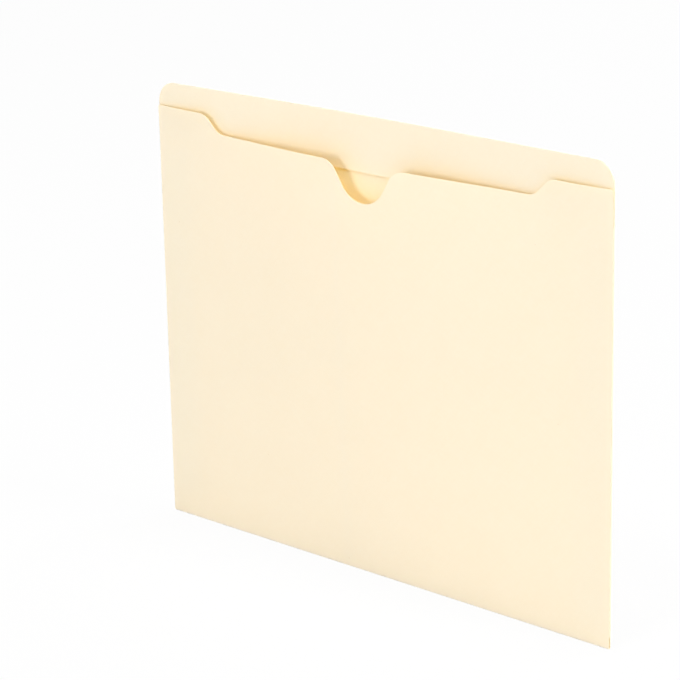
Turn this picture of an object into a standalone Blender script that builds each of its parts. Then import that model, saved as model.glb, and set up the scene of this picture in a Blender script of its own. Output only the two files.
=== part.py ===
"""A letter-size manila file jacket, standing on its bottom crease with its mouth up.

The real jacket is one die-cut blank, creased, folded into a flat pocket and glued. Each panel of the blank,
each crease between two panels and each glue line is an object here. The back panel has a doubled tab along
its top and a glue flap along each side. The front panel folds up from the bottom crease, is glued to both
flaps, and swings forward about that crease when the mouth opens. +X is to the right as seen from the front,
the front faces -Y, and the origin is under the middle of the jacket's depth.
"""

import math

import bmesh
import bpy
from mathutils import Matrix, Vector

# Overall size of the folded jacket, in metres as everything here
WIDTH = 0.29845
HEIGHT = 0.2413

# The manila stock, a line of dry glue, and the play left between pieces that touch
STOCK = 0.00028
GLUE = 0.0001
PLAY = 0.0001
HINGE_PLAY = 0.00015

# How far the panels have sprung apart at the mouth, how fast the bow fades towards the sides, and where across
# the width the gap is widest
FRONT_BOW = 0.007
FRONT_FADE = 2.75
BACK_BOW = 0.0035
BACK_FADE = 1.5
BOW_PEAK = -0.02
FLAT_BACK = 0.08

# Doubled tab along the top of the back panel
TAB_DEPTH = 0.0286
TAB_CORNER = 0.0111
TAB_GLUE_MARGIN = 0.004

# Mouth edge of the front panel, measured down from the top of the tab and in from the sides
FRONT_INSET = 0.0004
SHOULDER_DROP = 0.0127
SHOULDER_LENGTH = 0.041
SHOULDER_CORNER = 0.0012
MOUTH_DROP = 0.0222
STEP_SLOPE = math.radians(45)
STEP_FILLET = 0.0095

# Thumb notch in the middle of the mouth edge
NOTCH_DEPTH = 0.0197
NOTCH_RADIUS = 0.0153
NOTCH_FLANK = math.radians(30.5)
NOTCH_FILLET = 0.011

# Glue flaps that fold in from the sides of the back panel, and the glue line on each
FLAP_WIDTH = 0.0222
FLAP_TAPER = 0.005
FLAP_CORNER = 0.003
FLAP_FOOT = 0.006
FLAP_TO_TAB = 0.001
SEAM_GLUE_MARGIN = 0.004
SEAM_GLUE_CORNER = 0.0025

# Fineness of the mesh
BEND_COLUMNS = 24
BEND_ROWS = 10
FILLET_STEPS = 8
CREASE_STEPS = 8
CUT_TOLERANCE = 1e-6

# Crease radii: half of the space between the folded layers, and the stock around it
TAB_FILLING = GLUE + 2 * PLAY
SEAM_FILLING = STOCK + GLUE + 3 * PLAY
TAB_CREASE = TAB_FILLING / 2 + STOCK
SIDE_CREASE = PLAY / 2 + STOCK
BOTTOM_CREASE = SEAM_FILLING / 2 + STOCK

# Layers through the depth, given by the y of each front face where the sheet is flat
DEPTH = FRONT_BOW + SEAM_FILLING + 2 * STOCK + BACK_BOW
BACK_Y = DEPTH / 2 - BACK_BOW - STOCK
FLAP_Y = BACK_Y - PLAY - STOCK
SEAM_GLUE_Y = FLAP_Y - PLAY - GLUE
FRONT_Y = BACK_Y - SEAM_FILLING - STOCK
TAB_GLUE_Y = BACK_Y - PLAY - GLUE
TAB_PLY_Y = BACK_Y - TAB_FILLING - STOCK

# Edges and axes that several pieces share
HINGE = Vector((0, BACK_Y - SEAM_FILLING / 2, BOTTOM_CREASE))
PANEL_SIDE = WIDTH / 2 - SIDE_CREASE - PLAY
PANEL_TOP = HEIGHT - TAB_CREASE - PLAY
MOUTH = HEIGHT - MOUTH_DROP
FLAP_TOP = HEIGHT - TAB_DEPTH - FLAP_TO_TAB
LEFT, RIGHT = -1, 1


def clear_scene():
    for obj in list(bpy.data.objects):
        bpy.data.objects.remove(obj)


def make_material(name, colour, roughness):
    material = bpy.data.materials.new(name)
    material.use_nodes = True
    shader = material.node_tree.nodes["Principled BSDF"]
    shader.inputs["Base Color"].default_value = colour
    shader.inputs["Roughness"].default_value = roughness
    shader.inputs["Metallic"].default_value = 0.0
    material.diffuse_color = colour
    return material


def bulge(x, fade):
    """The share of the bow at x: all of it at BOW_PEAK, none at the side creases."""
    side = math.copysign(WIDTH / 2, x - BOW_PEAK)
    across = (x - BOW_PEAK) / (side - BOW_PEAK)
    return max(0.0, 1 - across**2) ** fade


def front_bow(x, z):
    """The front panel leans forward from the bottom crease, most at the middle of the mouth."""
    return -FRONT_BOW * bulge(x, FRONT_FADE) * z / MOUTH


def back_bow(x, z):
    """The back panel is flat low down and curves backward towards its tab."""
    rise = max(0.0, (z - FLAT_BACK) / (HEIGHT - FLAT_BACK))
    return BACK_BOW * bulge(x, BACK_FADE) * rise**2


def rounded(corners):
    """Outline points through (x, z, fillet radius) corners, in order, with each fillet an arc."""
    points = []
    for i, (x, z, radius) in enumerate(corners):
        corner = Vector((x, z))
        if radius == 0:
            points.append(corner)
            continue
        back = (Vector(corners[i - 1][:2]) - corner).normalized()
        ahead = (Vector(corners[(i + 1) % len(corners)][:2]) - corner).normalized()
        half = back.angle(ahead) / 2
        centre = corner + (back + ahead).normalized() * radius / math.sin(half)
        start = corner + back * radius / math.tan(half) - centre
        end = corner + ahead * radius / math.tan(half) - centre
        turn = math.atan2(start.cross(end), start.dot(end))
        for k in range(FILLET_STEPS + 1):
            points.append(centre + Matrix.Rotation(turn * k / FILLET_STEPS, 2) @ start)
    return points


def box_corners(side, low, high, low_radius, high_radius):
    """A rectangle about x = 0 with one fillet radius below and one above."""
    return [
        (-side, low, low_radius),
        (side, low, low_radius),
        (side, high, high_radius),
        (-side, high, high_radius),
    ]


def bend(mesh, bow):
    """Cut a flat mesh along the jacket's bending grid and move every point by bow(x, z) in y."""
    columns = [WIDTH * (i / BEND_COLUMNS - 0.5) for i in range(1, BEND_COLUMNS)]
    rows = [HEIGHT * i / BEND_ROWS for i in range(1, BEND_ROWS)]
    cuts = [((x, 0, 0), (1, 0, 0)) for x in columns] + [((0, 0, z), (0, 0, 1)) for z in rows]
    for point, normal in cuts:
        bmesh.ops.bisect_plane(
            mesh,
            geom=mesh.verts[:] + mesh.edges[:] + mesh.faces[:],
            dist=CUT_TOLERANCE,
            plane_co=point,
            plane_no=normal,
        )
    for vert in mesh.verts:
        vert.co.y += bow(vert.co.x, vert.co.z)


def add_piece(name, mesh, material, parent):
    """Turn a mesh in world coordinates into an object whose origin is its parent's."""
    bmesh.ops.recalc_face_normals(mesh, faces=mesh.faces)
    bmesh.ops.translate(mesh, verts=mesh.verts, vec=-parent.location)
    data = bpy.data.meshes.new(name)
    mesh.to_mesh(data)
    mesh.free()
    data.materials.append(material)
    data.shade_smooth()
    data.set_sharp_from_angle(angle=math.radians(30))
    obj = bpy.data.objects.new(name, data)
    obj.parent = parent
    bpy.context.scene.collection.objects.link(obj)
    return obj


def add_sheet(name, outline, front, thickness, bow, material, parent):
    """A sheet of an x-z outline, extruded back from y = front and then bowed."""
    mesh = bmesh.new()
    face = mesh.faces.new([mesh.verts.new((x, front, z)) for x, z in outline])
    swept = bmesh.ops.extrude_face_region(mesh, geom=[face])["geom"]
    far = [item for item in swept if isinstance(item, bmesh.types.BMVert)]
    bmesh.ops.translate(mesh, verts=far, vec=(0, thickness, 0))
    bend(mesh, bow)
    return add_piece(name, mesh, material, parent)


def add_crease(name, length, outer, place, material, parent, bow=None):
    """Half a turn of stock. Before place moves it, its axis is along X and its round side faces down."""
    mesh = bmesh.new()
    angles = [math.pi * (1 + k / CREASE_STEPS) for k in range(CREASE_STEPS + 1)]
    rim = [(outer, a) for a in angles] + [(outer - STOCK, a) for a in reversed(angles)]
    start = -length / 2
    face = mesh.faces.new([mesh.verts.new((start, r * math.cos(a), r * math.sin(a))) for r, a in rim])
    swept = bmesh.ops.extrude_face_region(mesh, geom=[face])["geom"]
    far = [item for item in swept if isinstance(item, bmesh.types.BMVert)]
    bmesh.ops.translate(mesh, verts=far, vec=(length, 0, 0))
    bmesh.ops.transform(mesh, matrix=place, verts=mesh.verts)
    if bow:
        bend(mesh, bow)
    return add_piece(name, mesh, material, parent)


def front_outline():
    """Bottom edge, then up the right side and back along the shoulders, the steps and the thumb notch."""
    side = WIDTH / 2 - FRONT_INSET
    foot = HINGE.z + HINGE_PLAY
    shoulder = HEIGHT - SHOULDER_DROP
    half_run = (shoulder - MOUTH) / math.tan(STEP_SLOPE) / 2
    step = WIDTH / 2 - SHOULDER_LENGTH
    apex = MOUTH - NOTCH_DEPTH - NOTCH_RADIUS * (1 / math.sin(NOTCH_FLANK) - 1)
    notch = (MOUTH - apex) * math.tan(NOTCH_FLANK)
    right = [
        (side, foot, 0),
        (side, shoulder, SHOULDER_CORNER),
        (step + half_run, shoulder, STEP_FILLET),
        (step - half_run, MOUTH, STEP_FILLET),
        (notch, MOUTH, NOTCH_FILLET),
    ]
    left = [(-x, z, radius) for x, z, radius in reversed(right)]
    return rounded(right + [(0, apex, NOTCH_RADIUS)] + left)


def flap_outline(side):
    """A flap with tapered ends, from the side crease inwards."""
    crease = side * PANEL_SIDE
    inner = side * (WIDTH / 2 - FLAP_WIDTH)
    return rounded(
        [
            (crease, FLAP_FOOT, 0),
            (crease, FLAP_TOP, 0),
            (inner, FLAP_TOP - FLAP_TAPER, FLAP_CORNER),
            (inner, FLAP_FOOT + FLAP_TAPER, FLAP_CORNER),
        ]
    )


def seam_glue_outline(side):
    """A straight glue line along the middle of a flap."""
    outer = side * (PANEL_SIDE - SEAM_GLUE_MARGIN)
    inner = side * (WIDTH / 2 - FLAP_WIDTH + SEAM_GLUE_MARGIN)
    low = FLAP_FOOT + FLAP_TAPER + SEAM_GLUE_MARGIN
    high = FLAP_TOP - FLAP_TAPER - SEAM_GLUE_MARGIN
    corners = [(outer, low), (outer, high), (inner, high), (inner, low)]
    return rounded([(x, z, SEAM_GLUE_CORNER) for x, z in corners])


def build_back(manila, creased, glue, jacket):
    """The back panel and the second ply of its tab, folded over the top crease and glued down."""
    back = rounded(box_corners(PANEL_SIDE, HINGE.z + PLAY, PANEL_TOP, 0, TAB_CORNER))
    add_sheet("back_panel", back, BACK_Y, STOCK, back_bow, manila, jacket)
    tab_foot = HEIGHT - TAB_DEPTH
    ply = rounded(box_corners(PANEL_SIDE, tab_foot, PANEL_TOP, 0, TAB_CORNER))
    add_sheet("tab_ply", ply, TAB_PLY_Y, STOCK, back_bow, manila, jacket)
    film = box_corners(
        PANEL_SIDE - TAB_GLUE_MARGIN,
        tab_foot + TAB_GLUE_MARGIN,
        PANEL_TOP - TAB_GLUE_MARGIN,
        TAB_CORNER - TAB_GLUE_MARGIN,
        TAB_CORNER - TAB_GLUE_MARGIN,
    )
    add_sheet("tab_glue", rounded(film), TAB_GLUE_Y, GLUE, back_bow, glue, jacket)
    crown = Matrix.Translation((0, BACK_Y - TAB_FILLING / 2, HEIGHT - TAB_CREASE))
    length = 2 * (PANEL_SIDE - TAB_CORNER)
    place = crown @ Matrix.Rotation(math.pi, 4, "X")
    add_crease("tab_crease", length, TAB_CREASE, place, creased, jacket, back_bow)


def build_side(name, side, manila, creased, glue, jacket):
    """One side crease with its glue flap, which follows the front panel, and the glue line between them."""
    middle = Vector((side * (WIDTH / 2 - SIDE_CREASE), BACK_Y - PLAY / 2, (FLAP_FOOT + FLAP_TOP) / 2))
    place = Matrix.Translation(middle) @ Matrix.Rotation(-side * math.pi / 2, 4, "Y")
    add_crease(name + "_side_crease", FLAP_TOP - FLAP_FOOT, SIDE_CREASE, place, creased, jacket)
    add_sheet(name + "_glue_flap", flap_outline(side), FLAP_Y, STOCK, front_bow, manila, jacket)
    add_sheet(name + "_seam_glue", seam_glue_outline(side), SEAM_GLUE_Y, GLUE, front_bow, glue, jacket)


def build_front(manila, creased, jacket):
    """The bottom crease, and the front panel on an empty that lies on the crease's axis."""
    place = Matrix.Translation(HINGE)
    add_crease("bottom_crease", 2 * PANEL_SIDE, BOTTOM_CREASE, place, creased, jacket)
    hinge = bpy.data.objects.new("front_hinge", None)
    hinge.location = HINGE
    hinge.parent = jacket
    bpy.context.scene.collection.objects.link(hinge)
    add_sheet("front_panel", front_outline(), FRONT_Y, STOCK, front_bow, manila, hinge)


def main():
    clear_scene()
    manila = make_material("manila", (0.95, 0.84, 0.62, 1.0), 0.8)
    creased = make_material("creased_manila", (0.88, 0.76, 0.53, 1.0), 0.85)
    glue = make_material("dry_glue", (0.80, 0.74, 0.58, 1.0), 0.45)
    jacket = bpy.data.objects.new("file_jacket", None)
    bpy.context.scene.collection.objects.link(jacket)
    build_back(manila, creased, glue, jacket)
    build_side("left", LEFT, manila, creased, glue, jacket)
    build_side("right", RIGHT, manila, creased, glue, jacket)
    build_front(manila, creased, jacket)


main()
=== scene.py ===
# %% [markdown]
# # A manila file jacket
# A file jacket is one sheet of manila card stock: die-cut, scored, folded into a flat pocket and glued
# along both sides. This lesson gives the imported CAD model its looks. The CAD holds the sizes and the
# joint, so the frame is loaded first, and every sheet below is drawn in the frame's own metres, where its
# CAD node is.

# %% Load the frame
import math

import bpy
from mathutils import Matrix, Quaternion, Vector


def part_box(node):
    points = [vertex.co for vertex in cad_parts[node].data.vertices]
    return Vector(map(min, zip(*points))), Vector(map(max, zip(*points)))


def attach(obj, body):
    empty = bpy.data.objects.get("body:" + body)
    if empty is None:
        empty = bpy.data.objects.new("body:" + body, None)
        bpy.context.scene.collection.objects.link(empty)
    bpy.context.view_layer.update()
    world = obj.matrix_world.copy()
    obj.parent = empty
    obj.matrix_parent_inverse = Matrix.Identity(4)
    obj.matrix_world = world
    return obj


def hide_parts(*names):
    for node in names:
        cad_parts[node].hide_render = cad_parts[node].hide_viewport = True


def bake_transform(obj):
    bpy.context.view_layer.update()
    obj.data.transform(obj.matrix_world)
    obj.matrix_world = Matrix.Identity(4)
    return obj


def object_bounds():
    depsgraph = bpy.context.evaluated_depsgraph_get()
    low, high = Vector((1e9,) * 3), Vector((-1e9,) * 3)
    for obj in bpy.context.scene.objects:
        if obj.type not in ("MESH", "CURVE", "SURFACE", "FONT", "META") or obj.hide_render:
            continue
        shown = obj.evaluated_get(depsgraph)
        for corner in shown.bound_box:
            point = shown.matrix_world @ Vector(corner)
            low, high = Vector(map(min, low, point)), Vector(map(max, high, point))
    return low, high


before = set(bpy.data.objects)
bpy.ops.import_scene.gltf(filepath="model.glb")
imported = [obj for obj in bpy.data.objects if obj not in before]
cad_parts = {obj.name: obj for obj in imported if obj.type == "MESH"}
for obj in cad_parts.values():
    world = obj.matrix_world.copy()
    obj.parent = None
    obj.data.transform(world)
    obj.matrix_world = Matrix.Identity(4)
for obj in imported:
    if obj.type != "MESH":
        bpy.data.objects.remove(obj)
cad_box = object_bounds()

MM = 0.001
HALF_WIDTH = cad_box[1].x
HEIGHT = cad_box[1].z
print("CAD nodes:", ", ".join(sorted(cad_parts)))
print(f"CAD box: {2 * HALF_WIDTH / MM:.2f} mm wide, {HEIGHT / MM:.2f} mm high")

# %% [markdown]
# ## Shader maths as Python maths
# Paper looks plain, but up close its colour and its tooth are sums of several noises. Wiring those sums
# by hand takes dozens of Math nodes. A small class that wraps one socket lets the sums be written as
# Python expressions, and each operator adds the Math node that it stands for. One method adds any other
# node: its settings first, because they decide which sockets there are, and then its sockets.

# %% A socket that can do sums
class Wire:
    """One output socket of a material. Sums on wires add Math nodes to that material."""

    def __init__(self, tree, socket):
        self.tree = tree
        self.socket = socket

    def node(self, kind, settings, sockets, output=0):
        """Add a node, set it up, fill or link its sockets, and return one of its outputs."""
        made = self.tree.nodes.new(kind)
        for name, value in settings.items():
            if name == "stops":
                set_stops(made.color_ramp, value)
            else:
                setattr(made, name, value)
        for name, value in sockets.items():
            socket = find_socket(made.inputs, name)
            if isinstance(value, Wire):
                self.tree.links.new(value.socket, socket)
            else:
                socket.default_value = value
        return Wire(self.tree, find_socket(made.outputs, output))

    def sum(self, operation, first, second):
        return self.node("ShaderNodeMath", {"operation": operation}, {0: first, 1: second})

    def __add__(self, other):
        return self.sum("ADD", self, other)

    def __radd__(self, other):
        return self.sum("ADD", other, self)

    def __sub__(self, other):
        return self.sum("SUBTRACT", self, other)

    def __rsub__(self, other):
        return self.sum("SUBTRACT", other, self)

    def __mul__(self, other):
        return self.sum("MULTIPLY", self, other)

    def __rmul__(self, other):
        return self.sum("MULTIPLY", other, self)


print("Shader sums are ready: + - * on wires")

# %% [markdown]
# ## Sockets, stops and a bare finish
# A node such as Mix has several sockets of one name, one for each kind of value. Numbers would find them,
# but names read better, so a socket is looked up by its name among those that are enabled. A new ramp has
# two stops, and the others are added. Every finish starts as a new material with its Principled shader.

# %% Find a socket, set a ramp, start a finish
def find_socket(sockets, name):
    """A socket by number, or the one of that name that the node's settings leave in use."""
    if isinstance(name, int):
        return sockets[name]
    return next(socket for socket in sockets if socket.name == name and socket.enabled)


def set_stops(ramp, stops):
    """Give a colour ramp these (place, grey level) stops."""
    while len(ramp.elements) < len(stops):
        ramp.elements.new(1.0)
    for element, (place, level) in zip(ramp.elements, stops):
        element.position = place
        element.color = (level, level, level, 1.0)


def new_finish(name):
    """A material with a bare Principled shader, the shader, and a wire of the object's coordinates."""
    finish = bpy.data.materials.new(name)
    finish.use_nodes = True
    tree = finish.node_tree
    shader = tree.nodes["Principled BSDF"]
    place = Wire(tree, tree.nodes.new("ShaderNodeTexCoord").outputs["Object"])
    return finish, shader, place


print("Materials that came with the frame:", len(bpy.data.materials))

# %% [markdown]
# ## What paper is made of
# Manila stock is felted pulp. Held to the light it is cloudy, because the pulp settles unevenly. Close up
# there are strands of fibre in it, here and there a brown fleck, and a fine tooth that takes a pencil.
# Four noises on Object coordinates give these. Every sheet sits at the origin, so the pattern runs on
# from sheet to sheet as it does on the one blank that they are cut from. The sizes are in metres: a noise
# of scale 40 has clouds of 25 mm.

# %% Pulp, strands, flecks and tooth
CLOUD_SCALE = 38
STRAND_SCALE = 420
STRAND_STRETCH = 6.0
STRAND_ANGLES = (0.5, -0.9)
STRAND_RIDGE = [(0.44, 0.0), (0.49, 1.0), (0.51, 1.0), (0.56, 0.0)]
STRAND_WANDER = 1.6 * MM
WANDER_SCALE = 140
FLECK_SCALE = 85
FLECK_SPOT = [(0.012, 1.0), (0.03, 0.0)]
FLECK_CHOICE = [(0.30, 1.0), (0.34, 0.0)]
TOOTH_SCALE = 2300


def noise(place, scale, detail=2.0, roughness=0.5):
    sockets = {"Vector": place, "Scale": scale, "Detail": detail, "Roughness": roughness}
    return place.node("ShaderNodeTexNoise", {}, sockets, "Fac")


def shade(wire, stops):
    """The grey level that a ramp's stops give to a wire's value."""
    return wire.node("ShaderNodeValToRGB", {"stops": stops}, {"Fac": wire}, "Color")


def strands(place, angle):
    """Thin wandering strands at an angle, in radians: the ridges of a stretched noise."""
    drift = place.node("ShaderNodeTexNoise", {}, {"Vector": place, "Scale": WANDER_SCALE}, "Color")
    wander = {0: drift, "Scale": STRAND_WANDER}
    shift = place.node("ShaderNodeVectorMath", {"operation": "SCALE"}, wander, "Vector")
    bent = place.node("ShaderNodeVectorMath", {"operation": "ADD"}, {0: place, 1: shift}, "Vector")
    turned = {"Vector": bent, "Rotation": (0.0, angle, 0.0), "Scale": (STRAND_STRETCH, 1.0, 1.0)}
    long = place.node("ShaderNodeMapping", {"vector_type": "TEXTURE"}, turned, "Vector")
    return shade(noise(long, STRAND_SCALE, detail=3.0), STRAND_RIDGE)


def flecks(place):
    """Specks of bark: the middles of a few cells."""
    cells = {"Vector": place, "Scale": FLECK_SCALE}
    near = place.node("ShaderNodeTexVoronoi", {}, cells, "Distance")
    few = place.node("ShaderNodeTexVoronoi", {}, cells, "Color")
    return shade(near, FLECK_SPOT) * shade(few, FLECK_CHOICE)


def mix(factor, first, second):
    """first where factor is 0 and second where it is 1, as colours."""
    sockets = {"Factor": factor, "A": first, "B": second}
    return factor.node("ShaderNodeMix", {"data_type": "RGBA"}, sockets, "Result")


print("Pulp clouds of", round(1 / CLOUD_SCALE / MM), "mm, tooth of", round(1 / TOOTH_SCALE / MM, 2), "mm")

# %% [markdown]
# ## Plugging a finish in
# A flat colour would do for a thumbnail, but would look like plastic on a part that is seen at arm's
# length, so each finish has its own colour, roughness and bump. Card of this weight isn't quite opaque
# either. A share of a Translucent shader lets light soak through it, and the light turns golden on the
# way. The share is the same all over, so it is a plain number on the Mix Shader.

# %% Colour, roughness, bump, and light through the stock
SHINING_THROUGH = (0.985, 0.945, 0.500, 1.0)
THROUGH_SHARE = 0.155


def set_surface(shader, colour, roughness):
    colour.tree.links.new(colour.socket, shader.inputs["Base Color"])
    colour.tree.links.new(roughness.socket, shader.inputs["Roughness"])


def set_bump(shader, height, depth, strength):
    """Raise the surface by a height from 0 to about 1, times a depth in metres."""
    sockets = {"Height": height, "Distance": depth, "Strength": strength}
    bump = height.node("ShaderNodeBump", {}, sockets, "Normal")
    height.tree.links.new(bump.socket, shader.inputs["Normal"])


def set_gloss(shader, level):
    shader.inputs["Specular IOR Level"].default_value = level


def let_light_through(shader, place):
    """Mix in the light that soaks through the stock and comes out warmer on the other side."""
    through = place.node("ShaderNodeBsdfTranslucent", {}, {"Color": SHINING_THROUGH})
    surface = Wire(place.tree, shader.outputs["BSDF"])
    both = place.node("ShaderNodeMixShader", {}, {0: THROUGH_SHARE, 1: surface, 2: through})
    place.tree.links.new(both.socket, place.tree.nodes["Material Output"].inputs["Surface"])


print(f"Each face of the stock lets {THROUGH_SHARE:.1%} of the light through")

# %% [markdown]
# ## Manila and its inside
# The outer faces and the inside of the front are the same felt. The inside gets a deeper yellow as painted
# glow, which turns the light that bounces in the pocket golden. A tint on the pocket's light would be lost
# under other lamps, so it is a finish of its own. One function makes both: the pulp's clouds set the
# colour, and the strands and a few flecks are laid over it. The tooth and the strands make the height.

# %% Manila, outside and inside with painted glow
MANILA_PALE = (0.975, 0.902, 0.745, 1.0)
MANILA_DEEP = (0.962, 0.880, 0.710, 1.0)
# Painted glow: a deeper yellow for the inside of the front, which gilds the light in the pocket.
PAINTED_GLOW_PALE = (0.970, 0.872, 0.440, 1.0)
PAINTED_GLOW_DEEP = (0.957, 0.850, 0.410, 1.0)
STRAND_COLOUR = (0.985, 0.927, 0.785, 1.0)
STRAND_SHARE = 0.3
FLECK_COLOUR = (0.60, 0.43, 0.24, 1.0)
FLECK_SHARE = 0.5
TOOTH_PART = 0.7
STRAND_PART = 0.3
TOOTH_HEIGHT = 0.02 * MM
MANILA_ROUGHNESS = 0.74
TOOTH_ROUGHNESS = 0.16
MANILA_BUMP = 0.5
MANILA_GLOSS = 0.25


def felt(place, deep, pale):
    """A colour between the deep and the pale tone, and the height of the surface, from 0 to about 1."""
    cloud = noise(place, CLOUD_SCALE, detail=3.0)
    tooth = noise(place, TOOTH_SCALE)
    first, second = (strands(place, angle) for angle in STRAND_ANGLES)
    fibre = 0.5 * (first + second)
    colour = mix(cloud, deep, pale)
    colour = mix(STRAND_SHARE * fibre, colour, STRAND_COLOUR)
    colour = mix(FLECK_SHARE * flecks(place), colour, FLECK_COLOUR)
    return colour, TOOTH_PART * tooth + STRAND_PART * fibre


def make_manila(name, deep, pale):
    finish, shader, place = new_finish(name)
    colour, height = felt(place, deep, pale)
    set_surface(shader, colour, MANILA_ROUGHNESS + TOOTH_ROUGHNESS * height)
    set_bump(shader, height, TOOTH_HEIGHT, MANILA_BUMP)
    set_gloss(shader, MANILA_GLOSS)
    let_light_through(shader, place)
    return finish


manila = make_manila("manila", MANILA_DEEP, MANILA_PALE)
# The inside finish's deeper yellow is painted glow for the light in the pocket.
inside = make_manila("manila_inside_painted_glow", PAINTED_GLOW_DEEP, PAINTED_GLOW_PALE)
for finish in (manila, inside):
    print(finish.name, "has", len(finish.node_tree.nodes), "nodes")

# %% [markdown]
# ## Creased manila
# At a fold the score has broken the surface, and handling has rubbed it. The whole fold could be painted
# paler, but wear is patchy. A noise through a ramp gives patches, which are paler, smoother and a little
# raised, on the same felt as the sheets.

# %% Creased manila
RUBBED = (0.980, 0.910, 0.750, 1.0)
RUB_SCALE = 260
RUB_PATCHES = [(0.45, 0.0), (0.7, 1.0)]
RUB_SHARE = 0.6
CREASE_ROUGHNESS = 0.86
RUB_POLISH = 0.1
CREASE_HEIGHT = 0.03 * MM
CREASE_BUMP = 0.6
CREASE_GLOSS = 0.2


def make_creased():
    finish, shader, place = new_finish("creased_manila")
    colour, height = felt(place, MANILA_DEEP, MANILA_PALE)
    worn = shade(noise(place, RUB_SCALE, detail=4.0, roughness=0.7), RUB_PATCHES)
    set_surface(shader, mix(RUB_SHARE * worn, colour, RUBBED), CREASE_ROUGHNESS - RUB_POLISH * worn)
    set_bump(shader, height + worn, CREASE_HEIGHT, CREASE_BUMP)
    set_gloss(shader, CREASE_GLOSS)
    let_light_through(shader, place)
    return finish


creased = make_creased()
print(creased.name, "has", len(creased.node_tree.nodes), "nodes")

# %% [markdown]
# ## Cut rims and dry glue
# At a cut edge the felt shows from the side: rougher, in layers too thin to draw one by one, so a very
# fine noise stands for them. The glue is a film that was brushed on and has dried to a dull yellow. Its
# noise is stretched along the seam into streaks.

# %% Cut rim and dry glue
RIM_PALE = (0.975, 0.910, 0.750, 1.0)
RIM_DEEP = (0.945, 0.855, 0.660, 1.0)
RIM_SCALE = 5200
RIM_ROUGHNESS = 0.85
LAYER_ROUGHNESS = 0.1
RIM_BUMP = 0.6
RIM_GLOSS = 0.15
GLUE_PALE = (0.82, 0.76, 0.60, 1.0)
GLUE_DEEP = (0.70, 0.62, 0.43, 1.0)
STREAK_SCALE = 300
STREAK_STRETCH = (1.0, 1.0, 0.2)
STREAK_HEIGHT = 0.04 * MM
GLUE_ROUGHNESS = 0.35
STREAK_ROUGHNESS = 0.3
GLUE_BUMP = 0.5


def make_rim():
    finish, shader, place = new_finish("cut_rim")
    layers = noise(place, RIM_SCALE, detail=3.0, roughness=0.6)
    set_surface(shader, mix(layers, RIM_DEEP, RIM_PALE), RIM_ROUGHNESS + LAYER_ROUGHNESS * layers)
    set_bump(shader, layers, TOOTH_HEIGHT, RIM_BUMP)
    set_gloss(shader, RIM_GLOSS)
    let_light_through(shader, place)
    return finish


def make_glue():
    finish, shader, place = new_finish("dry_glue")
    brushed = place.node("ShaderNodeMapping", {}, {"Vector": place, "Scale": STREAK_STRETCH}, "Vector")
    streaks = noise(brushed, STREAK_SCALE, detail=3.0)
    set_surface(shader, mix(streaks, GLUE_DEEP, GLUE_PALE), GLUE_ROUGHNESS + STREAK_ROUGHNESS * streaks)
    set_bump(shader, streaks, STREAK_HEIGHT, GLUE_BUMP)
    return finish


rim = make_rim()
glue = make_glue()
for finish in (rim, glue):
    print(finish.name, "has", len(finish.node_tree.nodes), "nodes")

# %% [markdown]
# ## The layers
# Pressed flat, the pocket is a stack: front sheet, glue, flap, back sheet, and at the top the doubled
# tab. The stock is 0.28 mm thick. The bottom crease's box gives the stack's front and back, and the
# layers are counted in from both. What is glued lies within a hair, because a wider gap would show as a
# dark slit at the edges. -Y is the front, so each layer's y is the y of its front face.

# %% Stock, glue and the y of each layer
STOCK = 0.28 * MM
GLUE = 0.1 * MM
HAIR = 0.01 * MM
FRONT_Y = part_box("bottom_crease")[0].y
BACK_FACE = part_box("bottom_crease")[1].y
BACK_Y = BACK_FACE - STOCK
SEAM_GLUE_Y = FRONT_Y + STOCK + HAIR
FLAP_Y = SEAM_GLUE_Y + GLUE + HAIR
TAB_GLUE_Y = BACK_Y - HAIR - GLUE
TAB_PLY_Y = TAB_GLUE_Y - HAIR - STOCK
BOTTOM_FOLD = (BACK_FACE - FRONT_Y) / 2
SIDE_FOLD = (BACK_FACE - FLAP_Y) / 2
TAB_FOLD = (BACK_FACE - TAB_PLY_Y) / 2
SHEET_SIDE = HALF_WIDTH - SIDE_FOLD
SHEET_FOOT = BOTTOM_FOLD
SHEET_TOP = HEIGHT - TAB_FOLD
print(f"Front sheet at y {FRONT_Y / MM:.2f} mm, back sheet at y {BACK_Y / MM:.2f} mm")

# %% [markdown]
# ## Two cages that bow the paper
# A jacket never stays pressed flat: the mouth springs open. The front bows forward, and the back bows a
# little the other way. Moving points one sheet at a time would let the layers drift apart, so each side
# of the pocket gets one lattice, and all of that side's layers are drawn flat and bent through it. The
# lattice's B-spline makes the bow smooth however coarse its points are. The bow dies out at the side
# creases, where the layers are glued.

# %% The front cage and the back cage
FRONT_BOW = 7.0 * MM
FRONT_FADE = 2.75
BACK_BOW = 3.5 * MM
BACK_FADE = 1.5
BOW_PEAK = -20.0 * MM
FLAT_BACK = 80.0 * MM
MOUTH = HEIGHT - 22.2 * MM
CAGE_MARGIN = 30.0 * MM
CAGE_DEPTH = 40.0 * MM
CAGE_COLUMNS = 45
CAGE_ROWS = 61


def bulge(x, fade):
    """The share of the bow at x: all of it at the peak, none from the side creases outwards."""
    side = math.copysign(HALF_WIDTH, x - BOW_PEAK)
    across = (x - BOW_PEAK) / (side - BOW_PEAK)
    return max(0.0, 1 - across**2) ** fade


def front_bow(x, z):
    return -FRONT_BOW * bulge(x, FRONT_FADE) * z / MOUTH


def back_bow(x, z):
    rise = max(0.0, (z - FLAT_BACK) / (HEIGHT - FLAT_BACK))
    return BACK_BOW * bulge(x, BACK_FADE) * rise**2


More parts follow.
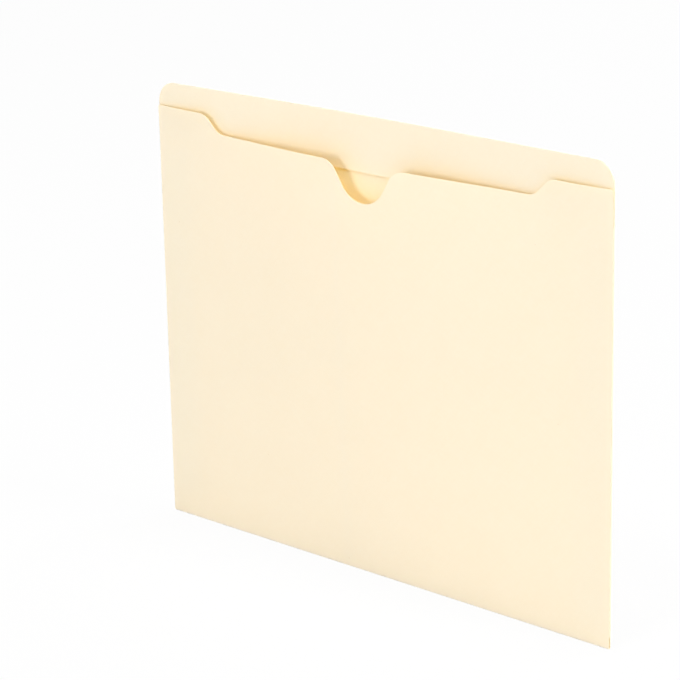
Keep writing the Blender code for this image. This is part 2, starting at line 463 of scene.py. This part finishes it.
def add_cage(name, bow):
    """A lattice round the whole jacket whose points are moved in y by bow(x, z)."""
    bpy.ops.object.select_all(action="DESELECT")
    bpy.ops.object.add(type="LATTICE", location=(0, 0, HEIGHT / 2))
    cage = bpy.context.object
    cage.name = name
    cage.scale = (2 * (HALF_WIDTH + CAGE_MARGIN), CAGE_DEPTH, HEIGHT + 2 * CAGE_MARGIN)
    cage.data.points_u = CAGE_COLUMNS
    cage.data.points_w = CAGE_ROWS
    bpy.context.view_layer.update()
    for point in cage.data.points:
        place = cage.matrix_world @ point.co
        point.co_deform.y += bow(place.x, place.z) / CAGE_DEPTH
    return cage


front_cage = add_cage("front_cage", front_bow)
back_cage = add_cage("back_cage", back_bow)
print("Each cage has", len(front_cage.data.points), "points")

# %% [markdown]
# ## Drawing with a cutting rule
# A die maker bends a steel rule round the outline of the blank: straight runs and arcs. The same can be
# done in edit mode with one vertex, which is extruded along each run and spun round each fillet. A bevel
# on the corners would be quicker, but its arcs are only round at square corners, and the thumb notch is
# far from square. The closed outline is then filled with one face.

# %% The rule and the die
ARC_STEP = math.radians(3)
LEAST_ARC_STEPS = 3
NEAR = 1e-6


def fillet(before, corner, after):
    """Where the rule meets a corner's arc, where it leaves it, the arc's centre, and how far it turns."""
    point = Vector(corner[:2])
    radius = corner[2]
    back = (Vector(before[:2]) - point).normalized()
    ahead = (Vector(after[:2]) - point).normalized()
    half = back.angle(ahead) / 2
    centre = point + (back + ahead).normalized() * radius / math.sin(half)
    start = point + back * radius / math.tan(half)
    end = point + ahead * radius / math.tan(half)
    turn = math.copysign(math.pi - 2 * half, ahead.cross(back))
    return start, end, centre, turn


def start_rule(name, point):
    """A new mesh of one selected vertex, in edit mode."""
    bpy.ops.object.select_all(action="DESELECT")
    bpy.ops.mesh.primitive_plane_add(size=STOCK, location=point)
    bpy.context.object.name = name
    bpy.context.object.data.name = name
    bpy.ops.object.transform_apply(location=True, rotation=True, scale=True)
    bpy.ops.object.mode_set(mode="EDIT")
    bpy.ops.mesh.select_mode(type="VERT")
    bpy.ops.mesh.select_all(action="SELECT")
    bpy.ops.mesh.merge(type="CENTER")


def die_cut(name, y, corners):
    """A flat face at depth y through (x, z, fillet radius) corners, left in edit mode."""
    count = len(corners)
    bends = [fillet(corners[i - 1], corners[i], corners[(i + 1) % count]) for i in range(count)]
    at = bends[-1][1]
    start_rule(name, (at.x, y, at.y))
    for start, end, centre, turn in bends:
        run = start - at
        bpy.ops.mesh.extrude_region_move(TRANSFORM_OT_translate={"value": (run.x, 0, run.y)})
        if (end - start).length > NEAR:
            steps = max(LEAST_ARC_STEPS, round(abs(turn) / ARC_STEP))
            bpy.ops.mesh.spin(steps=steps, angle=turn, center=(centre.x, y, centre.y), axis=(0, 1, 0))
        at = end
    bpy.ops.mesh.select_all(action="SELECT")
    bpy.ops.mesh.remove_doubles(threshold=NEAR)
    bpy.ops.mesh.edge_face_add()


print(f"A fillet is spun in steps of about {math.degrees(ARC_STEP):.0f} degrees")

# %% [markdown]
# ## Scoring a grid
# One big face can't bend. Subdividing it would give crooked faces round the notch, so it is scored
# instead: bisect cuts it along straight columns and rows, closer together across the width, which is the
# way the paper bows. Bisect cuts what is selected, so all of it is selected before each cut.

# %% Columns, rows and the side that faces the front
GRID_COLUMN = 3.1 * MM
GRID_ROW = 6.3 * MM


def score_across(axis, places):
    """Cut the mesh in edit mode by planes square to an axis."""
    for place in places:
        bpy.ops.mesh.select_all(action="SELECT")
        point = Vector((0, 0, 0))
        point["XYZ".index(axis)] = place
        normal = Vector((0, 0, 0))
        normal["XYZ".index(axis)] = 1
        bpy.ops.mesh.bisect(plane_co=point, plane_no=normal, threshold=NEAR)


def grid_columns():
    """The x of each column of the grid that the paper bends along."""
    half = int(HALF_WIDTH / GRID_COLUMN)
    return [GRID_COLUMN * i for i in range(-half, half + 1)]


def score_grid():
    """Cut the mesh in edit mode along the columns and rows that it will bend at."""
    score_across("X", grid_columns())
    score_across("Z", [GRID_ROW * i for i in range(1, math.ceil(HEIGHT / GRID_ROW))])


def face_front():
    """Turn the flat face in edit mode to the front, so that it thickens backwards."""
    piece = bpy.context.object
    piece.update_from_editmode()
    bpy.ops.mesh.select_all(action="SELECT")
    if piece.data.polygons[0].normal.y > 0:
        bpy.ops.mesh.flip_normals()


print(len(grid_columns()), "columns across the width")

# %% [markdown]
# ## Thickness and bow
# Extruding a flat sheet would give it thickness too, but a Solidify modifier also hands out the finishes:
# the rim takes the cut edge's, and the back can have one of its own. The lattice comes after it, so that
# face and back bend together.

# %% From an outline to a sheet
SMOOTH_ANGLE = math.radians(35)


def use_modifier(piece, kind, **settings):
    """Add a modifier to a piece and apply it."""
    modifier = piece.modifiers.new(kind.lower(), kind)
    for name, value in settings.items():
        setattr(modifier, name, value)
    bpy.ops.object.modifier_apply(modifier=modifier.name)


def thicken(piece, thickness, face, edge, behind):
    """Give a sheet its thickness behind its face, and its edge and back a finish of their own if given."""
    slots = {"material_offset_rim": 0, "material_offset": 0}
    piece.data.materials.append(face)
    for setting, finish in (("material_offset_rim", edge), ("material_offset", behind)):
        if finish:
            slots[setting] = len(piece.data.materials)
            piece.data.materials.append(finish)
    use_modifier(piece, "SOLIDIFY", thickness=thickness, offset=-1, **slots)


def finish_piece(piece):
    """Smooth a piece's shading and print its size."""
    bpy.ops.object.shade_smooth_by_angle(angle=SMOOTH_ANGLE)
    size = [round(side / MM, 2) for side in piece.dimensions]
    print(f"{piece.name}: {len(piece.data.polygons)} faces, {size[0]} x {size[1]} x {size[2]} mm")
    return piece


def make_sheet(name, y, corners, thickness, cage, face, edge=None, behind=None, top=HEIGHT):
    """A die-cut sheet of the given outline and thickness, cut off at a top, and bent through a cage."""
    die_cut(name, y, corners)
    bpy.ops.mesh.select_all(action="SELECT")
    bpy.ops.mesh.bisect(plane_co=(0, 0, top), plane_no=(0, 0, 1), clear_outer=True, threshold=NEAR)
    score_grid()
    face_front()
    bpy.ops.object.mode_set(mode="OBJECT")
    piece = bpy.context.object
    thicken(piece, thickness, face, edge, behind)
    use_modifier(piece, "LATTICE", object=cage)
    return finish_piece(piece)


print(f"Sheets are {STOCK / MM:.2f} mm thick, and glue films {GLUE / MM:.2f} mm")

# %% [markdown]
# ## The back sheet
# The back is the tallest panel. Its top corners are rounded, because they are the corners of the tab that
# sticks up out of a drawer. It runs from the bottom fold to the fold along the top of the tab, and its
# sides end where the side folds begin. The tab's front ply has the same sides and corners and starts
# higher up, so one function gives the corners of both.

# %% Back sheet
TAB_CORNER = 11.1 * MM


def tabbed_corners(foot):
    """The corners of a sheet of the back's width, from a foot up to the tab's round corners."""
    return [
        (-SHEET_SIDE, foot, 0),
        (SHEET_SIDE, foot, 0),
        (SHEET_SIDE, HEIGHT, TAB_CORNER),
        (-SHEET_SIDE, HEIGHT, TAB_CORNER),
    ]


back_corners = tabbed_corners(SHEET_FOOT)
back_sheet = make_sheet("back_sheet", BACK_Y, back_corners, STOCK, back_cage, manila, rim, top=SHEET_TOP)

# %% [markdown]
# ## The doubled tab
# Tabs wear out first, so the blank is folded over at the top and glued down: the tab has two plies. The
# front ply ends just below the mouth edge, and its lower edge is the thin line that crosses the thumb
# notch. The glue stops short of that edge, so the ply springs off the back by half a millimetre and
# throws a shadow, without which the line wouldn't show. The ply gets a cage of its own, which bows it
# like the back and adds that spring.

# %% Tab ply
TAB_DEPTH = 28.6 * MM
TAB_FOOT = HEIGHT - TAB_DEPTH
PLY_SPRING = 0.55 * MM
SPRING_TOP = HEIGHT - 8.0 * MM


def ply_bow(x, z):
    """The back's bow, with the ply springing off it towards its lower edge."""
    drop = max(0.0, (SPRING_TOP - z) / (SPRING_TOP - TAB_FOOT))
    return back_bow(x, z) - PLY_SPRING * bulge(x, BACK_FADE) * drop**2


ply_cage = add_cage("ply_cage", ply_bow)
ply_corners = tabbed_corners(TAB_FOOT)
tab_ply = make_sheet("tab_front_ply", TAB_PLY_Y, ply_corners, STOCK, ply_cage, manila, rim, top=SHEET_TOP)

# %% [markdown]
# ## The glue in the tab
# The film between the plies is hidden, and the tab would look the same without it. It is there for anyone
# who takes the part to pieces: a thin sheet with round corners that stays clear of the tab's edges.

# %% Tab glue
TAB_GLUE_MARGIN = 4.0 * MM
film_side = SHEET_SIDE - TAB_GLUE_MARGIN
film_foot = TAB_FOOT + TAB_GLUE_MARGIN
film_top = SHEET_TOP - TAB_GLUE_MARGIN
film_corner = TAB_CORNER - TAB_GLUE_MARGIN
film_corners = [
    (-film_side, film_foot, film_corner),
    (film_side, film_foot, film_corner),
    (film_side, film_top, film_corner),
    (-film_side, film_top, film_corner),
]
tab_film = make_sheet("tab_glue_film", TAB_GLUE_Y, film_corners, GLUE, back_cage, glue)

# %% [markdown]
# ## Folds
# A scored fold is half a turn of stock. A bevel on one bent sheet would do, but the fold is its own node
# in the CAD, so it is its own piece: a strip as wide as the stock is thick and as long as the fold, spun
# half a turn about the fold's axis. It ends exactly on the two sheets that it joins, with the same
# tangent, so no line shows. The four folds share these two functions.

# %% Half a turn of stock
FOLD_STEPS = 12
END_FACING = 0.02
X, Z = 0, 2


def spin_fold(name, start, along, centre, axis, angle):
    """Half a turn of stock, left in edit mode: a strip along the fold, spun about an axis."""
    start_rule(name, start)
    bpy.ops.mesh.extrude_region_move(TRANSFORM_OT_translate={"value": along})
    bpy.ops.mesh.select_all(action="SELECT")
    bpy.ops.mesh.extrude_region_move(TRANSFORM_OT_translate={"value": (0, STOCK, 0)})
    bpy.ops.mesh.select_all(action="SELECT")
    bpy.ops.mesh.spin(steps=FOLD_STEPS, angle=angle, center=centre, axis=axis)
    bpy.ops.mesh.select_all(action="SELECT")
    bpy.ops.mesh.remove_doubles(threshold=NEAR)


def finish_fold(along, cage=None):
    """Close a fold, give its ends the cut rim's finish, and bend it if it has a cage."""
    bpy.ops.mesh.select_all(action="SELECT")
    bpy.ops.mesh.normals_make_consistent(inside=False)
    bpy.ops.object.mode_set(mode="OBJECT")
    piece = bpy.context.object
    piece.data.materials.append(creased)
    piece.data.materials.append(rim)
    for face in piece.data.polygons:
        face.material_index = int(abs(face.normal[along]) > END_FACING)
    if cage:
        use_modifier(piece, "LATTICE", object=cage)
    return finish_piece(piece)


print(f"A fold is spun in {FOLD_STEPS} steps")

# %% [markdown]
# ## The fold along the top of the tab
# The top fold runs into the tab's round corners. A square end would stick out past them, so the ends are
# trimmed by a few bisect cuts that follow the corner's arc, each closed with a new face. The fold then
# gets the sheets' columns, so that it bends as they do.

# %% Tab fold
TRIM_CUTS = 4
TAB_FOLD_LEAN = math.acos(1 - TAB_FOLD / TAB_CORNER)
LEFT, RIGHT = -1, 1


def trim_to_corner(side):
    """Cut one end of the tab fold, in edit mode, along the tab's round corner."""
    centre = Vector((side * (SHEET_SIDE - TAB_CORNER), 0, HEIGHT - TAB_CORNER))
    for i in range(TRIM_CUTS):
        lean = TAB_FOLD_LEAN * (i + 0.5) / TRIM_CUTS
        outward = Vector((side * math.sin(lean), 0, math.cos(lean)))
        bpy.ops.mesh.select_all(action="SELECT")
        bpy.ops.mesh.bisect(
            plane_co=centre + TAB_CORNER * outward,
            plane_no=outward,
            use_fill=True,
            clear_outer=True,
            threshold=NEAR,
        )


tab_fold_side = SHEET_SIDE - TAB_CORNER + TAB_CORNER * math.sin(TAB_FOLD_LEAN)
spin_fold(
    "tab_fold",
    start=(-tab_fold_side, TAB_PLY_Y, SHEET_TOP),
    along=(2 * tab_fold_side, 0, 0),
    centre=(0, BACK_FACE - TAB_FOLD, SHEET_TOP),
    axis=(1, 0, 0),
    angle=math.pi,
)
trim_to_corner(LEFT)
trim_to_corner(RIGHT)
score_across("X", grid_columns())
tab_fold = finish_fold(X, back_cage)

# %% [markdown]
# ## The fold at the bottom
# The jacket stands on this fold. It is as thick as the whole stack, so its half turn is wider than the
# tab's, and it turns the other way. Down here nothing bows, so it needs no cage and no columns.

# %% Bottom fold
spin_fold(
    "bottom_fold",
    start=(-SHEET_SIDE, FRONT_Y, SHEET_FOOT),
    along=(2 * SHEET_SIDE, 0, 0),
    centre=(0, BACK_FACE - BOTTOM_FOLD, SHEET_FOOT),
    axis=(1, 0, 0),
    angle=-math.pi,
)
bottom_fold = finish_fold(X)

# %% [markdown]
# ## Side folds and glue flaps
# At each side the blank has a narrow flap, folded in behind the front and glued to it. The ends are
# tapered so that they don't catch. From outside only the side fold shows, as a thin line beside the
# front's edge, but the flaps are in plain sight when someone looks into the pocket. Mirroring one side
# would turn its mesh inside out, so a side of -1 or 1 is a factor on x instead.

# %% Side folds and flaps, left and right
FLAP_WIDTH = 22.2 * MM
FLAP_TAPER = 5.0 * MM
FLAP_CORNER = 3.0 * MM
FLAP_FOOT = 6.0 * MM
FLAP_TOP = TAB_FOOT - 1.0 * MM
FLAP_INNER = HALF_WIDTH - FLAP_WIDTH


def make_side_fold(name, side):
    spin_fold(
        name,
        start=(side * SHEET_SIDE, FLAP_Y, FLAP_FOOT),
        along=(0, 0, FLAP_TOP - FLAP_FOOT),
        centre=(side * SHEET_SIDE, BACK_FACE - SIDE_FOLD, (FLAP_FOOT + FLAP_TOP) / 2),
        axis=(0, 0, 1),
        angle=-side * math.pi,
    )
    return finish_fold(Z)


def make_flap(name, side):
    corners = [
        (side * SHEET_SIDE, FLAP_FOOT, 0),
        (side * SHEET_SIDE, FLAP_TOP, 0),
        (side * FLAP_INNER, FLAP_TOP - FLAP_TAPER, FLAP_CORNER),
        (side * FLAP_INNER, FLAP_FOOT + FLAP_TAPER, FLAP_CORNER),
    ]
    return make_sheet(name, FLAP_Y, corners, STOCK, front_cage, manila, rim)


side_folds = {LEFT: make_side_fold("left_fold", LEFT), RIGHT: make_side_fold("right_fold", RIGHT)}
flaps = {LEFT: make_flap("left_flap", LEFT), RIGHT: make_flap("right_flap", RIGHT)}

# %% [markdown]
# ## The glue in the side seams
# A line of glue down each flap holds the front. Like the tab's it is hidden until the seam is peeled. It
# is a long film with round corners, a margin inside the flap, bent through the same cage as the flap and
# the front, so that it stays between them.

# %% Seam glue, left and right
SEAM_MARGIN = 4.0 * MM
SEAM_CORNER = 2.5 * MM


def make_seam_glue(name, side):
    outer = side * (SHEET_SIDE - SEAM_MARGIN)
    inner = side * (FLAP_INNER + SEAM_MARGIN)
    low = FLAP_FOOT + FLAP_TAPER + SEAM_MARGIN
    high = FLAP_TOP - FLAP_TAPER - SEAM_MARGIN
    corners = [
        (outer, low, SEAM_CORNER),
        (outer, high, SEAM_CORNER),
        (inner, high, SEAM_CORNER),
        (inner, low, SEAM_CORNER),
    ]
    return make_sheet(name, SEAM_GLUE_Y, corners, GLUE, front_cage, glue)


seam_films = {LEFT: make_seam_glue("left_seam_film", LEFT), RIGHT: make_seam_glue("right_seam_film", RIGHT)}

# %% [markdown]
# ## The front sheet
# The front is the panel with the shape: a raised shoulder at each side, a sloped step down to the mouth
# edge, and a thumb notch in the middle. Its outline goes once round with the rule. Above the flaps the
# shoulders are glued to nothing and spring off the tab a little, which draws a shaded line on it, so the
# front gets a cage of its own that adds this to the bow.

# %% Front sheet
FRONT_INSET = 0.4 * MM
SHOULDER = HEIGHT - 12.7 * MM
SHOULDER_LENGTH = 41.0 * MM
SHOULDER_CORNER = 1.2 * MM
STEP_FILLET = 9.5 * MM
NOTCH_DEPTH = 19.7 * MM
NOTCH_RADIUS = 15.3 * MM
NOTCH_FLANK = math.radians(30.5)
NOTCH_FILLET = 11.0 * MM
SHOULDER_SPRING = 2.0 * MM
SPRING_FADE = 14.0 * MM


def sprung_bow(x, z):
    """The front's bow, with the shoulders springing off the tab above the flaps."""
    rise = max(0.0, (z - FLAP_TOP) / (SHOULDER - FLAP_TOP))
    free = min(1.0, max(0.0, (HALF_WIDTH - abs(x)) / SPRING_FADE))
    beside_bow = 1 - bulge(x, 1)
    return front_bow(x, z) - SHOULDER_SPRING * free * beside_bow * rise**2


shoulder_cage = add_cage("shoulder_cage", sprung_bow)
front_side = HALF_WIDTH - FRONT_INSET
step_middle = HALF_WIDTH - SHOULDER_LENGTH
step_half = (SHOULDER - MOUTH) / 2
notch_apex = MOUTH - NOTCH_DEPTH - NOTCH_RADIUS * (1 / math.sin(NOTCH_FLANK) - 1)
notch_half = (MOUTH - notch_apex) * math.tan(NOTCH_FLANK)
right_corners = [
    (front_side, SHEET_FOOT, 0),
    (front_side, SHOULDER, SHOULDER_CORNER),
    (step_middle + step_half, SHOULDER, STEP_FILLET),
    (step_middle - step_half, MOUTH, STEP_FILLET),
    (notch_half, MOUTH, NOTCH_FILLET),
]
left_corners = [(-x, z, radius) for x, z, radius in reversed(right_corners)]
front_corners = right_corners + [(0, notch_apex, NOTCH_RADIUS)] + left_corners
# The back face of the front takes the inside finish, whose deeper yellow is painted glow.
whole_front = make_sheet("front_sheet", FRONT_Y, front_corners, STOCK, shoulder_cage, manila, rim, inside)

# %% [markdown]
# ## Two halves that can open
# When the mouth opens, the middle of the front swings out with the hinge while its sides stay glued. One
# blend runs from one body to another along one line, so the sheet is cut in two where the bow is widest.
# Each half is a copy with its own mesh, bisected and closed. The whole sheet and the cages have then done
# their work and are removed.

# %% Left and right half of the front
def cut_half(whole, name, side):
    """A copy of the front sheet that keeps one side of the cut at the bow's peak, closed there."""
    bpy.ops.object.select_all(action="DESELECT")
    whole.select_set(True)
    bpy.context.view_layer.objects.active = whole
    bpy.ops.object.duplicate()
    half = bpy.context.object
    half.name = name
    half.data.name = name
    bpy.ops.object.mode_set(mode="EDIT")
    bpy.ops.mesh.select_all(action="SELECT")
    bpy.ops.mesh.bisect(
        plane_co=(BOW_PEAK, 0, 0),
        plane_no=(side, 0, 0),
        use_fill=True,
        clear_inner=True,
        threshold=NEAR,
    )
    bpy.ops.object.mode_set(mode="OBJECT")
    return finish_piece(half)


front_halves = {
    LEFT: cut_half(whole_front, "front_sheet_left", LEFT),
    RIGHT: cut_half(whole_front, "front_sheet_right", RIGHT),
}
for used in (whole_front, front_cage, back_cage, ply_cage, shoulder_cage):
    bpy.data.objects.remove(used)

# %% [markdown]
# ## Which body each piece rides on
# The jacket body stays put, and the front body swings about the bottom crease. The back, the tab and the
# folds ride on the jacket. The front halves, and the flaps and glue that are stuck to them, are baked in
# place where they were drawn, and each replaces its CAD node.

# %% Rides and replaced nodes
def ride_on_jacket(piece, node):
    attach(piece, "jacket")
    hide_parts(node)


def blend_with_front(piece, node):
    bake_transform(piece)
    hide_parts(node)


ride_on_jacket(back_sheet, "back_panel")
ride_on_jacket(tab_ply, "tab_ply")
ride_on_jacket(tab_film, "tab_glue")
ride_on_jacket(tab_fold, "tab_crease")
ride_on_jacket(bottom_fold, "bottom_crease")
for side, name in ((LEFT, "left"), (RIGHT, "right")):
    ride_on_jacket(side_folds[side], name + "_side_crease")
    blend_with_front(flaps[side], name + "_glue_flap")
    blend_with_front(seam_films[side], name + "_seam_glue")
    blend_with_front(front_halves[side], "front_panel")

# %% [markdown]
# ## Floor and surround
# Product photographs of paper have a white surround. More light on the floor would whiten it, but would
# burn out the paper too. So the floor is pale grey and keeps a soft shadow, and for the camera it is
# lifted to white with Is Camera Ray. The world does the same: white where it is seen, and only a faint
# fill on the object.

# %% Floor and world
FLOOR_SIZE = 40.0
FLOOR_COLOUR = (0.65, 0.65, 0.65, 1.0)
FLOOR_ROUGHNESS = 0.9
FLOOR_LIFT = 0.93
FILL_STRENGTH = 0.06
WHITE = (1.0, 1.0, 1.0, 1.0)


def seen_directly(tree):
    """1 for rays that show the surround itself or its reflection, and 0 for rays that light the object."""
    path = tree.nodes.new("ShaderNodeLightPath")
    camera = Wire(tree, path.outputs["Is Camera Ray"])
    mirror = Wire(tree, path.outputs["Is Glossy Ray"])
    glass = Wire(tree, path.outputs["Is Transmission Ray"])
    either = camera.sum("MAXIMUM", camera, mirror)
    return camera.sum("MAXIMUM", either, glass)


def make_floor():
    bpy.ops.object.select_all(action="DESELECT")
    bpy.ops.mesh.primitive_plane_add(size=FLOOR_SIZE, location=(0, 0, 0))
    floor = bpy.context.object
    floor.name = "floor"
    finish = bpy.data.materials.new("pale_floor")
    finish.use_nodes = True
    tree = finish.node_tree
    shader = tree.nodes["Principled BSDF"]
    shader.inputs["Base Color"].default_value = FLOOR_COLOUR
    shader.inputs["Roughness"].default_value = FLOOR_ROUGHNESS
    set_gloss(shader, 0.0)
    seen = seen_directly(tree)
    matte = Wire(tree, shader.outputs["BSDF"])
    white = seen.node("ShaderNodeEmission", {}, {"Color": WHITE, "Strength": 1.0})
    lifted = seen.node("ShaderNodeMixShader", {}, {0: FLOOR_LIFT * seen, 1: matte, 2: white})
    tree.links.new(lifted.socket, tree.nodes["Material Output"].inputs["Surface"])
    floor.data.materials.append(finish)
    return floor


def make_world():
    world = bpy.data.worlds.new("white_surround")
    bpy.context.scene.world = world
    world.use_nodes = True
    tree = world.node_tree
    seen = seen_directly(tree)
    fill = tree.nodes["Background"]
    fill.inputs["Color"].default_value = WHITE
    fill.inputs["Strength"].default_value = FILL_STRENGTH
    white = seen.node("ShaderNodeBackground", {}, {"Color": WHITE, "Strength": 1.0})
    sky = seen.node("ShaderNodeMixShader", {}, {0: seen, 1: Wire(tree, fill.outputs[0]), 2: white})
    tree.links.new(sky.socket, tree.nodes["World Output"].inputs["Surface"])
    return world


floor = make_floor()
world = make_world()
print("Stage:", floor.name, "and", world.name)

# %% [markdown]
# ## Light
# Paper is lit softly from the front and above. One lamp would do for a flat sheet, but the pocket needs
# several. A large, low key shines in through the thumb notch and leaves the pocket beside it in soft
# shade. A high lamp and light from overhead draw the lower edge of the tab's ply, a side lamp catches the
# right fold, and a lamp behind lights the back. The pocket glows golden, because light that bounces
# between two buff sheets loses its blue at each bounce, so the number of diffuse bounces is raised.
# The inside of the front adds to that gold with a deeper yellow, which is painted glow.

# %% Lamps and bounces
OVERHEAD_STRENGTH = 2.1
OVERHEAD_SPREAD = math.radians(30)
OVERHEAD_PLACE = (0, 0, 4 * HEIGHT)
KEY = {"azimuth": 2, "elevation": 4, "distance": 2.5, "size": 1.1, "power": 30.6}
HIGH_LAMP = {"azimuth": 0, "elevation": 62, "distance": 2.5, "size": 0.6, "power": 23.2}
SIDE_LAMP = {"azimuth": 96, "elevation": 18, "distance": 2.5, "size": 0.84, "power": 45.0}
BACK_LAMP = {"azimuth": 165, "elevation": 20, "distance": 3.2, "size": 1.6, "power": 50.0}
BOUNCES = 24


def from_centre(azimuth, elevation):
    """The direction from the jacket to something at this azimuth and elevation. Azimuth 0 is the front."""
    flat = math.cos(elevation)
    return Vector((math.sin(azimuth) * flat, -math.cos(azimuth) * flat, math.sin(elevation)))


def make_lamp(name, azimuth, elevation, distance, size, power):
    """A square soft box that faces the middle of the jacket."""
    towards = from_centre(math.radians(azimuth), math.radians(elevation))
    bpy.ops.object.select_all(action="DESELECT")
    bpy.ops.object.light_add(type="AREA", location=Vector((0, 0, HEIGHT / 2)) + towards * distance)
    lamp = bpy.context.object
    lamp.name = name
    lamp.rotation_euler = towards.to_track_quat("Z", "Y").to_euler()
    lamp.data.size = size
    lamp.data.energy = power


def make_overhead():
    """Light from straight above, which whitens the floor and hardly touches the upright sheets."""
    bpy.ops.object.select_all(action="DESELECT")
    bpy.ops.object.light_add(type="SUN", location=OVERHEAD_PLACE)
    lamp = bpy.context.object
    lamp.name = "overhead"
    lamp.data.energy = OVERHEAD_STRENGTH
    lamp.data.angle = OVERHEAD_SPREAD


make_overhead()
make_lamp("front_key", **KEY)
make_lamp("high_lamp", **HIGH_LAMP)
make_lamp("side_lamp", **SIDE_LAMP)
make_lamp("back_lamp", **BACK_LAMP)
scene = bpy.context.scene
scene.cycles.max_bounces = BOUNCES
scene.cycles.diffuse_bounces = BOUNCES
scene.view_settings.view_transform = "Standard"

# %% [markdown]
# ## Camera
# The camera was fitted to the four corners of the photographed outline. It stands to the right of the
# front and looks down a little, through a long lens, with a slight roll. A shifted lens would fit the
# uprights better, but would push the jacket out of every other view, so there is no shift.

# %% Camera
LENS = 143.51
CAMERA_DISTANCE = 1.3816
CAMERA_AIM = Vector((-23.32 * MM, 1.88 * MM, 122.65 * MM))
CAMERA_AZIMUTH = math.radians(42.51)
CAMERA_ELEVATION = math.radians(17.49)
CAMERA_ROLL = math.radians(-1.22)

outward = from_centre(CAMERA_AZIMUTH, CAMERA_ELEVATION)
bpy.ops.object.select_all(action="DESELECT")
bpy.ops.object.camera_add(location=CAMERA_AIM + outward * CAMERA_DISTANCE)
camera = bpy.context.object
camera.name = "camera"
camera.data.lens = LENS
camera.rotation_mode = "QUATERNION"
camera.rotation_quaternion = outward.to_track_quat("Z", "Y") @ Quaternion((0, 0, 1), CAMERA_ROLL)
scene.camera = camera
print("Camera at", [round(value, 3) for value in camera.location])
